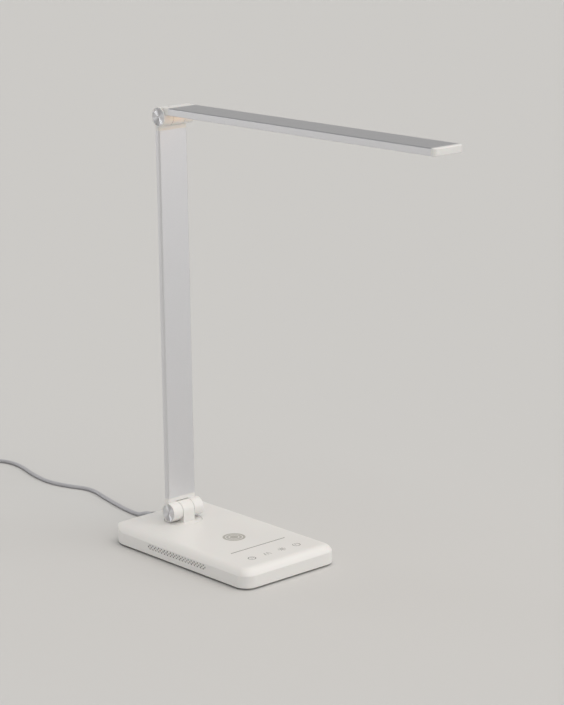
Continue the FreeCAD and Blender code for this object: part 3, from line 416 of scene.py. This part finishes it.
class Paintbox:
    """Makes each material once and hands it out."""

    def __init__(self) -> None:
        """Build the shared effects."""
        self.effects = {effect: build() for effect, build in EFFECT_BUILDERS.items()}
        self.painted_crevice_shade = painted_crevice_shade_group()
        self.made: dict[str, bpy.types.Material] = {}

    def material(self, name: str) -> bpy.types.Material:
        """Material of a finish.

        Args:
            name: the finish's name in FINISHES.

        Returns:
            The material, made on first use.
        """
        if name not in self.made:
            self.made[name] = self._make(name, FINISHES[name])
        return self.made[name]

    def _make(self, name: str, finish: Finish) -> bpy.types.Material:
        """Make the material of a finish.

        Args:
            name: the finish's name.
            finish: what it looks like.

        Returns:
            The new material.
        """
        material = bpy.data.materials.new("finish_" + name)
        material.use_nodes = True
        pen = NodePen(material.node_tree)
        shader = material.node_tree.nodes["Principled BSDF"]
        links = material.node_tree.links
        effect = pen.group(self.effects[finish.effect], {
            "Grain": finish.grain, "Relief": finish.relief, "Edge": finish.edge})
        mask = effect.outputs["Mask"]
        rough = pen.add("MapRange", {"Value": mask,
                                     "To Min": finish.roughness - finish.spread,
                                     "To Max": finish.roughness + finish.spread})
        links.new(self._colour(pen, mask, finish), shader.inputs["Base Color"])
        links.new(rough.outputs[0], shader.inputs["Roughness"])
        links.new(effect.outputs["Normal"], shader.inputs["Normal"])
        values: dict[str, object] = {
            "Metallic": finish.metallic,
            "Coat Weight": finish.coat,
            "Coat Roughness": finish.roughness / 2,
            "Subsurface Weight": finish.through,
            "Subsurface Scale": SCATTER_DEPTH,
        }
        if finish.anisotropy:
            values |= {"Anisotropic": finish.anisotropy, "Anisotropic Rotation": ACROSS_GROOVES}
            tangent = pen.add("Tangent", direction_type="RADIAL", axis="Y")
            links.new(tangent.outputs[0], shader.inputs["Tangent"])
        if finish.glow:
            values |= {"Emission Color": (*finish.glow_colour, 1),
                       "Emission Strength": finish.glow}
        for label, value in values.items():
            shader.inputs[label].default_value = value
        return material

    def _colour(self, pen: NodePen, mask: Socket, finish: Finish) -> Socket:
        """Colour of a finish: mottled by the mask, and darkened by painted shade in holes and
        seams where it has them.

        Args:
            pen: the pen of the material.
            mask: socket with the effect's mask.
            finish: what the material looks like.

        Returns:
            The socket with the colour.
        """
        dark = tuple(channel * (1 - finish.mottle) for channel in finish.colour)
        colour = pen.blend(mask, dark, finish.colour)
        if not finish.painted_shade_reach:
            return colour
        # painted shade: the colour darkens where walls stand close, in holes and seams
        painted_crevice_shade = pen.group(self.painted_crevice_shade, {"Reach": finish.painted_shade_reach})
        return pen.add("VectorMath", {0: colour, "Scale": painted_crevice_shade.outputs["Open"]},
                       operation="SCALE").outputs["Vector"]


PAINTBOX = Paintbox()


def dress_frame() -> None:
    """Give every CAD node its own finish, or else that of its slot in the record."""
    for part in frame["record"]["subparts"]:
        node = frame["nodes"][part["node"]]
        finish = OWN_FINISHES.get(part["node"], part["material_slot"])
        node.data.materials.clear()
        node.data.materials.append(PAINTBOX.material(finish))
        log.info("node %s wears %s", part["node"], finish)


# ---------------------------------------------------------------- mesh helpers

def add_piece(name: str, build: Callable[[Mesh], None], body: str, finish: str,
              origin: Point = (0.0, 0.0, 0.0)) -> bpy.types.Object:
    """Build a mesh piece, give it its finish and let it ride on a body.

    Args:
        name: the piece's name.
        build: function that fills the mesh, in coordinates relative to origin.
        body: CAD body that it moves with.
        finish: name in FINISHES.
        origin: where the piece's own origin stands.

    Returns:
        The new object.
    """
    mesh = bpy.data.meshes.new(name)
    work = bmesh.new()
    build(work)
    bmesh.ops.recalc_face_normals(work, faces=work.faces)
    work.to_mesh(mesh)
    work.free()
    mesh.materials.append(PAINTBOX.material(finish))
    piece = bpy.data.objects.new(name, mesh)
    piece.location = origin
    bpy.context.scene.collection.objects.link(piece)
    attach(piece, body)
    log.info("piece %s: %d faces on %s", name, len(mesh.polygons), body)
    return piece


def slab(work: Mesh, outline: Sequence[Plan], bottom: float, top: float) -> None:
    """Fill a mesh with a flat plate over a closed outline.

    Args:
        work: the mesh that is filled.
        outline: the plate's outline in plan.
        bottom: height of its underside.
        top: height of its top.
    """
    low = [work.verts.new((x, y, bottom)) for x, y in outline]
    high = [work.verts.new((x, y, top)) for x, y in outline]
    work.faces.new(high)
    work.faces.new(low)
    for index in range(len(outline)):
        after = (index + 1) % len(outline)
        work.faces.new((low[index], low[after], high[after], high[index]))


def arc_points(centre: Plan, radius: float, start: float, end: float, count: int) -> Line:
    """Points along an arc.

    Args:
        centre: the arc's centre.
        radius: its radius.
        start: angle of the first point in degrees.
        end: angle of the last point in degrees.
        count: number of steps between them.

    Returns:
        The points, one more than the steps.
    """
    angles = [math.radians(start + (end - start) * k / count) for k in range(count + 1)]
    return [(centre[0] + radius * math.cos(a), centre[1] + radius * math.sin(a)) for a in angles]


def full_ring(centre: Plan, radius: float, steps: int) -> list[Line]:
    """Full circle as two arcs, so that each can be drawn as an open line.

    Args:
        centre: the circle's centre.
        radius: its radius.
        steps: number of steps in each half.

    Returns:
        The two halves.
    """
    return [arc_points(centre, radius, start, start + 180, steps) for start in (0, 180)]


def stroke_outline(line: Sequence[Plan], width: float) -> Line:
    """Outline of an open line drawn with a pen.

    Args:
        line: points along the line.
        width: the pen's width.

    Returns:
        The closed outline.
    """
    sides: tuple[Line, Line] = ([], [])
    for index, here in enumerate(line):
        before = Vector(line[max(index - 1, 0)])
        after = Vector(line[min(index + 1, len(line) - 1)])
        along = (after - before).normalized()
        across = Vector((-along.y, along.x)) * width / 2
        sides[0].append(tuple(Vector(here) + across))
        sides[1].append(tuple(Vector(here) - across))
    return sides[0] + sides[1][::-1]


# ---------------------------------------------------------------- lit diffuser

@dataclass
class LightStrip:
    """The diffuser of the head, lit from behind by its row of lamps.

    Args:
        node: CAD node of the diffuser.
        lamps: CAD node of the lamps.
        lamp_count: how many lamps stand in the row.
        lamp_length: size of one lamp along the row.
        rim_colour: colour of the light where it is weakest.
    """

    node: str = "diffuser"
    lamps: str = "leds"
    lamp_count: int = 40
    lamp_length: float = 2.8 * MM
    rim_colour: Colour = (0.42, 0.18, 0.05)

    def dress(self) -> None:
        """Let the diffuser's light follow the lamps behind it."""
        material = PAINTBOX.material("opal")
        pen = NodePen(material.node_tree)
        low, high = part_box(self.lamps)
        group = pen.group(glow_group(), {
            "First": low.x + self.lamp_length / 2,
            "Pitch": (high.x - low.x - self.lamp_length) / (self.lamp_count - 1),
            "Reach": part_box(self.node)[1].y})
        colour = pen.blend(group.outputs["Mask"], self.rim_colour, FINISHES["opal"].glow_colour)
        shader = material.node_tree.nodes["Principled BSDF"]
        material.node_tree.links.new(colour, shader.inputs["Emission Color"])
        log.info("diffuser lit by %d lamps", self.lamp_count)


# ---------------------------------------------------------------- printed marks

@dataclass
class PrintedMarks:
    """Generic touch symbols, slider line and charging rings printed on the base's top.

    Args:
        level: height of the base's flat top.
        thickness: how far the print stands above it.
        line: width of the symbols' lines.
        symbol_radius: half the size of a touch symbol.
        symbol_x: station of the row of touch symbols.
        symbol_pitch: distance between their centres.
        slider_x: station of the slider line.
        slider_half: half its length.
        slider_line: its width.
        charge_x: station of the charging rings.
        charge_rings: (inner, outer) radii of each ring.
        power_ring: angles in degrees between which the power symbol's ring is drawn.
        power_stroke: where its stroke ends, as a share of its radius.
        timer_hand: length of the timer symbol's hands, as a share of its radius.
        zigzag: rise and step of the mode symbol's strokes, as shares of its radius.
        sun_disc: radius of the brightness symbol's disc, as a share of its radius.
        sun_rays: where its rays start and end, as shares of its radius.
        ray_count: how many rays it has.
    """

    level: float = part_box("base_top_cover")[1][2]
    thickness: float = 0.04 * MM
    line: float = 0.7 * MM
    symbol_radius: float = 3.5 * MM
    symbol_x: float = 75.5 * MM
    symbol_pitch: float = 18.3 * MM
    slider_x: float = 52.7 * MM
    slider_half: float = 33.2 * MM
    slider_line: float = 1.0 * MM
    charge_x: float = 18.6 * MM
    charge_rings: tuple[Span, ...] = ((0.0, 4.3 * MM), (5.2 * MM, 7.5 * MM), (8.4 * MM, 10.8 * MM))
    power_ring: Span = (215.0, 505.0)
    power_stroke: float = 0.1
    timer_hand: float = 0.62
    zigzag: Span = (0.8, 0.5)
    sun_disc: float = 0.42
    sun_rays: Span = (0.78, 1.15)
    ray_count: int = 8

    def build(self) -> None:
        """Add all marks."""
        self._print("mark_slider", [[(self.slider_x, -self.slider_half),
                                     (self.slider_x, self.slider_half)]], self.slider_line)
        symbols = {
            "mark_power": self._power,
            "mark_brightness": self._brightness,
            "mark_mode": self._mode,
            "mark_timer": self._timer,
        }
        middle = (len(symbols) - 1) / 2
        for index, (name, draw) in enumerate(symbols.items()):
            centre = (self.symbol_x, (middle - index) * self.symbol_pitch)
            self._print(name, draw(centre), self.line)
        add_piece("mark_charging", self._fill_charging_rings, "base", "print_grey",
                  (self.charge_x, 0.0, self.level))

    def _print(self, name: str, lines: Iterable[Line], width: float) -> None:
        """Add one mark drawn in lines.

        Args:
            name: the mark's name.
            lines: its lines in plan.
            width: width of the lines.
        """
        def fill(work: Mesh) -> None:
            """Fill the mesh with the mark's lines."""
            for line in lines:
                slab(work, stroke_outline(line, width), 0.0, self.thickness)
        add_piece(name, fill, "base", "print_dark", (0.0, 0.0, self.level))

    def _power(self, centre: Plan) -> list[Line]:
        """Broken ring with a stroke in its gap.

        Args:
            centre: the symbol's centre.

        Returns:
            The symbol's lines.
        """
        x, y = centre
        radius = self.symbol_radius
        return [arc_points(centre, radius, *self.power_ring, count=32),
                [(x - radius, y), (x - radius * self.power_stroke, y)]]

    def _timer(self, centre: Plan) -> list[Line]:
        """Ring with two hands.

        Args:
            centre: the symbol's centre.

        Returns:
            The symbol's lines.
        """
        x, y = centre
        reach = self.symbol_radius * self.timer_hand
        return [*full_ring(centre, self.symbol_radius, steps=20),
                [(x - reach, y), (x, y), (x, y + reach)]]

    def _mode(self, centre: Plan) -> list[Line]:
        """Zigzag of four strokes.

        Args:
            centre: the symbol's centre.

        Returns:
            The symbol's lines.
        """
        x, y = centre
        rise, step = (self.symbol_radius * share for share in self.zigzag)
        return [[(x + rise * (-1 if k % 2 else 1), y + step * (k - 2)) for k in range(5)]]

    def _brightness(self, centre: Plan) -> list[Line]:
        """Small sun: a small ring with rays round it.

        Args:
            centre: the symbol's centre.

        Returns:
            The symbol's lines.
        """
        x, y = centre
        inner, outer = (self.symbol_radius * share for share in self.sun_rays)
        rays = [[(x + inner * math.cos(a), y + inner * math.sin(a)),
                 (x + outer * math.cos(a), y + outer * math.sin(a))]
                for a in (math.tau * k / self.ray_count for k in range(self.ray_count))]
        return rays + full_ring(centre, self.symbol_radius * self.sun_disc, steps=12)

    def _fill_charging_rings(self, work: Mesh) -> None:
        """Fill a mesh with the charging rings, the innermost of which is a full disc.

        Args:
            work: the mesh that is filled.
        """
        middle = (0.0, 0.0)
        for inner, outer in self.charge_rings:
            if inner == 0.0:
                disc = arc_points(middle, outer, 0, 360, count=48)[:-1]
                slab(work, disc, 0.0, self.thickness)
                continue
            for half in (0, 180):
                ring = arc_points(middle, outer, half, half + 180, count=32)
                ring += arc_points(middle, inner, half + 180, half, count=32)
                slab(work, ring, 0.0, self.thickness)


# ---------------------------------------------------------------- hinge discs

@dataclass
class HingeDiscs:
    """The two spun discs that close one hinge barrel.

    Args:
        node: CAD node that they stand for.
        thickness: height of each disc.
        chamfer: width and height of the broken outer edge.
        rim: radial width from that edge's outside to the turned step.
        groove: depth of the turned step.
        slope: radial width of the step's and of the dimple's walls.
        dish: how much lower the face lies at the dimple.
        dimple: radius of the small centre dimple.
        dimple_depths: depth of its edge and of its middle below the step.
        crease: angle in degrees from which an edge looks sharp.
        segments: facets round each disc.
    """

    node: str
    thickness: float = 1.4 * MM
    chamfer: Span = (0.25 * MM, 0.3 * MM)
    rim: float = 0.5 * MM
    groove: float = 0.25 * MM
    slope: float = 0.2 * MM
    dish: float = 0.1 * MM
    dimple: float = 0.7 * MM
    dimple_depths: Span = (0.3 * MM, 0.35 * MM)
    crease: float = 25.0
    segments: int = 128

    def build(self) -> bpy.types.Object:
        """Add both discs as one piece, its origin in the middle of the hinge.

        Returns:
            The piece.
        """
        low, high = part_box(self.node)
        piece = add_piece(self.node + "_spun", self._fill, "arm", "spun_metal",
                          tuple((low + high) / 2))
        for polygon in piece.data.polygons:
            polygon.use_smooth = True
        piece.data.set_sharp_from_angle(angle=math.radians(self.crease))
        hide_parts(self.node)
        return piece

    def _fill(self, work: Mesh) -> None:
        """Fill a mesh with both discs.

        Args:
            work: the mesh that is filled.
        """
        low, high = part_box(self.node)
        profile = self._profile((high[0] - low[0]) / 2, (high[1] - low[1]) / 2)
        for side in (-1, 1):
            self._turn(work, profile, side)

    def _profile(self, radius: float, face: float) -> Line:
        """Section of a disc's turned face.

        Args:
            radius: the disc's radius.
            face: height of its face above the middle of the hinge.

        Returns:
            Points (radius, height) from the rim to the middle.
        """
        edge_width, edge_height = self.chamfer
        edge_depth, middle_depth = self.dimple_depths
        sunk = face - self.groove
        return [
            (radius, face - self.thickness),
            (radius, face - edge_height),
            (radius - edge_width, face),
            (radius - self.rim, face),
            (radius - self.rim - self.slope, sunk),
            (self.dimple + self.slope, sunk - self.dish),
            (self.dimple, sunk - edge_depth),
            (self.slope, sunk - middle_depth),
        ]

    def _turn(self, work: Mesh, profile: Sequence[Plan], side: int) -> None:
        """Turn a section round the Y axis and close both ends.

        Args:
            work: the mesh that is filled.
            profile: points (radius, height) of the section.
            side: -1 or 1, the end of the hinge that it closes.
        """
        rings = []
        for distance, height in profile:
            ring = []
            for k in range(self.segments):
                angle = math.tau * k / self.segments
                ring.append(work.verts.new((distance * math.cos(angle), side * height,
                                            distance * math.sin(angle))))
            rings.append(ring)
        for first, second in zip(rings, rings[1:]):
            for k in range(self.segments):
                after = (k + 1) % self.segments
                work.faces.new((first[k], first[after], second[after], second[k]))
        work.faces.new(rings[0])
        work.faces.new(rings[-1])


# ---------------------------------------------------------------- power lead

def eased(share: float) -> float:
    """Share kept between 0 and 1, with a soft start and a soft end.

    Args:
        share: how much of a change is done.

    Returns:
        The eased share.
    """
    share = min(max(share, 0.0), 1.0)
    return share * share * (3 - 2 * share)


@dataclass
class PowerLead:
    """The lead from its plug along the table to its coil and far plug.

    Args:
        length: real length; not used.
        droop: control point just outside the plug, before the lead meets the table.
        lying: height of its middle line where it lies on the table.
        route: control points on the table from the plug to the coil.
        turns: whole turns of the coil before the rest up to the leaving point.
        entry: angle in degrees where the lead runs onto the coil.
        leave: angle in degrees where it runs off again.
        per_turn: control points in each turn.
        climb: part of a turn over which the lead climbs to the next layer.
        descent: shares of the tail between which it comes down from the top layer.
        smoothness: steps round the lead's quarter and between two control points.
    """

    length: float = 1.5
    droop: Point = (-0.1275, 0.0110, 0.0070)
    lying: float = 0.00195
    route: Sequence[Plan] = field(default_factory=lambda: [
        (-0.1385, 0.0112),
        (-0.1590, 0.0120),
        (-0.1825, 0.0162),
        (-0.2090, 0.0217),
        (-0.2408, 0.0290),
        (-0.2612, 0.0195),
        (-0.2897, 0.0116),
        (-0.3220, 0.0151),
        (-0.3570, 0.0247),
        (-0.3820, 0.0247),
        (-0.3995, 0.0132),
    ])
    turns: int = 8
    entry: float = 130.0
    leave: float = 270.0
    per_turn: int = 16
    climb: float = 0.34
    descent: Span = (0.35, 0.75)
    smoothness: int = 6

    def build(self) -> bpy.types.Object:
        """Returns:
            The curve object.
        """
        low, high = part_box("lead_plug")
        start = (low.x, (low.y + high.y) / 2, (low.z + high.z) / 2)
        lying = [(x, y, self.lying) for x, y in self.route]
        points = [start, self.droop, *lying, *self._coil(), *self._tail()]
        curve = bpy.data.curves.new("power_lead", "CURVE")
        curve.dimensions = "3D"
        curve.bevel_depth = self._diameter() / 2
        curve.bevel_resolution = self.smoothness
        curve.resolution_u = self.smoothness
        curve.use_fill_caps = True
        spline = curve.splines.new("NURBS")
        spline.points.add(len(points) - 1)
        for spot, point in zip(spline.points, points):
            spot.co = (*point, 1.0)
        spline.order_u = 3
        spline.use_endpoint_u = True
        curve.materials.append(PAINTBOX.material("cable"))
        lead = bpy.data.objects.new("power_lead", curve)
        bpy.context.scene.collection.objects.link(lead)
        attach(lead, "base")
        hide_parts("cord_lead", "cord_coil", "cord_tail")
        log.info("lead: %d control points", len(points))
        return lead

    def _diameter(self) -> float:
        """The lead's thickness, as that of its straight tail.

        Returns:
            The diameter.
        """
        low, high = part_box("cord_tail")
        return high[2] - low[2]

    def _coil(self) -> list[Point]:
        """Control points of the coil: inwards on the table, up, and outwards on top.

        Returns:
            The points from the entry to the leaving point.
        """
        low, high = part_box("cord_coil")
        centre = (low + high) / 2
        thick = self._diameter()
        total = self.turns + (self.leave - self.entry) / 360
        outer = (high.x - low.x) / 2 - thick / 2
        swell = 1 / math.cos(math.pi / self.per_turn)  # the curve cuts its control points short
        count = round(total * self.per_turn)
        points = []
        for index in range(count):
            done = (index + 0.5) * (total / count)
            radius = (outer - thick * min(done, total - done)) * swell
            rise = eased((done - total / 2) / self.climb + 0.5)
            angle = math.radians(self.entry + 360 * done)
            points.append((centre.x + radius * math.cos(angle),
                           centre.y + radius * math.sin(angle),
                           low.z + thick * (0.5 + rise)))
        return points

    def _tail(self) -> list[Point]:
        """Control points from the coil's top layer down into the far plug.

        Returns:
            The points from the coil to the plug.
        """
        low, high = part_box("cord_tail")
        y = (low.y + high.y) / 2
        middle = (low.z + high.z) / 2
        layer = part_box("cord_coil")[1][2] - self._diameter() / 2
        first, last = (low.x + (high.x - low.x) * share for share in self.descent)
        return [(first, y, layer), (last, y, middle), (high.x, y, middle)]


# ---------------------------------------------------------------- studio

@dataclass
class Camera:
    """The scene's camera.

    Args:
        place: where it stands.
        azimuth: degrees that it stands round from the front.
        elevation: degrees that it looks down.
        roll: degrees that it leans.
        lens: focal length in millimetres.
        film: long side of the picture in the camera, in millimetres.
        clip: nearest and farthest distance that it sees.
    """

    place: Point = (1.56767, -1.32151, 0.7090)
    azimuth: float = 48.2
    elevation: float = 14.1
    roll: float = -0.75
    lens: float = 116.45
    film: float = 36.0
    clip: Span = (0.05, 60.0)

    def build(self) -> bpy.types.Object:
        """Add the camera and make it the scene's.

        Returns:
            The camera object.
        """
        around, down, lean = (math.radians(a) for a in (self.azimuth, self.elevation, self.roll))
        back = Vector((math.sin(around) * math.cos(down), -math.cos(around) * math.cos(down),
                       math.sin(down)))
        right = Vector((0, 0, 1)).cross(back).normalized()
        up = back.cross(right)
        right, up = (right * math.cos(lean) + up * math.sin(lean),
                     up * math.cos(lean) - right * math.sin(lean))
        data = bpy.data.cameras.new("main_camera")
        data.lens = self.lens
        data.sensor_width = self.film
        data.clip_start, data.clip_end = self.clip
        camera = bpy.data.objects.new("main_camera", data)
        turn = Matrix((right, up, back)).transposed().to_4x4()
        camera.matrix_world = Matrix.Translation(self.place) @ turn
        bpy.context.scene.collection.objects.link(camera)
        bpy.context.scene.camera = camera
        log.info("camera of %.2f mm", self.lens)
        return camera


@dataclass(frozen=True)
class StudioLamp:
    """One wide, soft lamp that stands far away.

    Args:
        towards: direction from the object to the lamp.
        width: angle in degrees over which it spreads.
        strength: light on a surface that faces it, in watts per square metre.
        colour: its colour.
    """

    towards: Point
    width: float
    strength: float
    colour: Colour = (0.96, 0.98, 1.0)


@dataclass
class Studio:
    """Plain pale floor, soft lamps and even pale surroundings.

    Args:
        floor_half: half the floor's size.
        floor_colour: colour of the floor.
        world_colour: colour of the light from the surroundings.
        bright_side: direction of the brighter half of the surroundings.
        world_bright: brightness of the surroundings on that side.
        world_dim: brightness on the other side.
        backdrop: colour that stands behind the object, as bright as the lit floor.
        upper: colour of the backdrop overhead.
        sweep: heights of a sight line's direction between which the one turns to the other.
        lamps: name of each lamp and what it is.
    """

    floor_half: float = 14.0
    floor_colour: Colour = (0.62, 0.615, 0.605)
    world_colour: Colour = (1.0, 0.985, 0.965)
    bright_side: Point = (0.75, 0.45, 0.48)
    world_bright: float = 0.66
    world_dim: float = 0.22
    backdrop: Colour = (0.603, 0.589, 0.565)
    upper: Colour = (0.26, 0.26, 0.26)
    sweep: Span = (0.08, 0.40)
    lamps: Mapping[str, StudioLamp] = field(default_factory=lambda: {
        "key": StudioLamp((0.32, 0.12, 0.94), 80.0, 1.35, (1.0, 0.98, 0.95)),
        "rim_soft": StudioLamp((-0.966, -0.249, 0.065), 14.0, 0.6),
        "front_soft": StudioLamp((-0.11, -0.99, 0.09), 10.0, 0.2),
        "right_soft": StudioLamp((0.72, 0.65, 0.15), 40.0, 0.5),
    })

    def build(self) -> None:
        """Add floor, lamps and surroundings."""
        self._floor()
        for name, lamp in self.lamps.items():
            self._light(name, lamp)
        self._surroundings()
        bpy.context.scene.view_settings.view_transform = "Standard"

    def _floor(self) -> None:
        """Add the floor, level with the underside of the base's pad."""
        mesh = bpy.data.meshes.new("floor")
        half = self.floor_half
        mesh.from_pydata([(-half, -half, 0), (half, -half, 0), (half, half, 0), (-half, half, 0)],
                         [], [(0, 1, 2, 3)])
        material = bpy.data.materials.new("floor")
        material.use_nodes = True
        shader = material.node_tree.nodes["Principled BSDF"]
        shader.inputs["Base Color"].default_value = (*self.floor_colour, 1)
        shader.inputs["Roughness"].default_value = 1.0
        shader.inputs["Specular IOR Level"].default_value = 0.0
        mesh.materials.append(material)
        floor = bpy.data.objects.new("floor", mesh)
        bpy.context.scene.collection.objects.link(floor)
        log.info("floor of %.0f m", 2 * half)

    def _light(self, name: str, lamp: StudioLamp) -> None:
        """Add one lamp.

        Args:
            name: the lamp's name.
            lamp: what it is.
        """
        data = bpy.data.lights.new(name, "SUN")
        data.angle = math.radians(lamp.width)
        data.energy = lamp.strength
        data.color = lamp.colour
        light = bpy.data.objects.new(name, data)
        light.matrix_world = Vector(lamp.towards).to_track_quat("Z", "Y").to_matrix().to_4x4()
        bpy.context.scene.collection.objects.link(light)
        log.info("lamp %s", name)

    def _surroundings(self) -> None:
        """Make the world: a soft light from one side, and the backdrop where it is seen."""
        world = bpy.data.worlds.new("surroundings")
        world.use_nodes = True
        bpy.context.scene.world = world
        pen = NodePen(world.node_tree)
        direction = pen.add("TexCoord").outputs["Generated"]
        towards = pen.add("VectorMath", {0: direction, 1: Vector(self.bright_side).normalized()},
                          operation="DOT_PRODUCT").outputs["Value"]
        strength = pen.add("MapRange", {"Value": towards, "From Min": -1.0, "From Max": 1.0,
                                        "To Min": self.world_dim, "To Max": self.world_bright},
                           interpolation_type="SMOOTHSTEP")
        background = world.node_tree.nodes["Background"]
        background.inputs["Color"].default_value = (*self.world_colour, 1)
        links = world.node_tree.links
        links.new(strength.outputs[0], background.inputs["Strength"])
        height = pen.add("SeparateXYZ", {0: direction}).outputs["Z"]
        lift = pen.add("MapRange", {"Value": height, "From Min": self.sweep[0],
                                    "From Max": self.sweep[1]}, interpolation_type="SMOOTHSTEP")
        colour = pen.blend(lift.outputs[0], self.backdrop, self.upper)
        shown = pen.add("Background", {"Color": colour, "Strength": 1.0})
        rays = pen.add("LightPath").outputs
        mirrored = pen.maths("ADD", rays["Is Glossy Ray"], rays["Is Transmission Ray"])
        seen = pen.maths("ADD", rays["Is Camera Ray"], mirrored, clamped=True)
        mixed = pen.add("MixShader", {0: seen, 1: background.outputs[0], 2: shown.outputs[0]})
        links.new(mixed.outputs[0], world.node_tree.nodes["World Output"].inputs["Surface"])


# ---------------------------------------------------------------- the whole lamp

def main() -> None:
    """Dress the frame, add the pieces and the studio."""
    Camera().build()
    PowerLead().build()
    dress_frame()
    LightStrip().dress()
    PrintedMarks().build()
    for node in ("lower_hinge_caps", "upper_hinge_caps"):
        HingeDiscs(node).build()
    Studio().build()


if __name__ == "__main__":
    main()
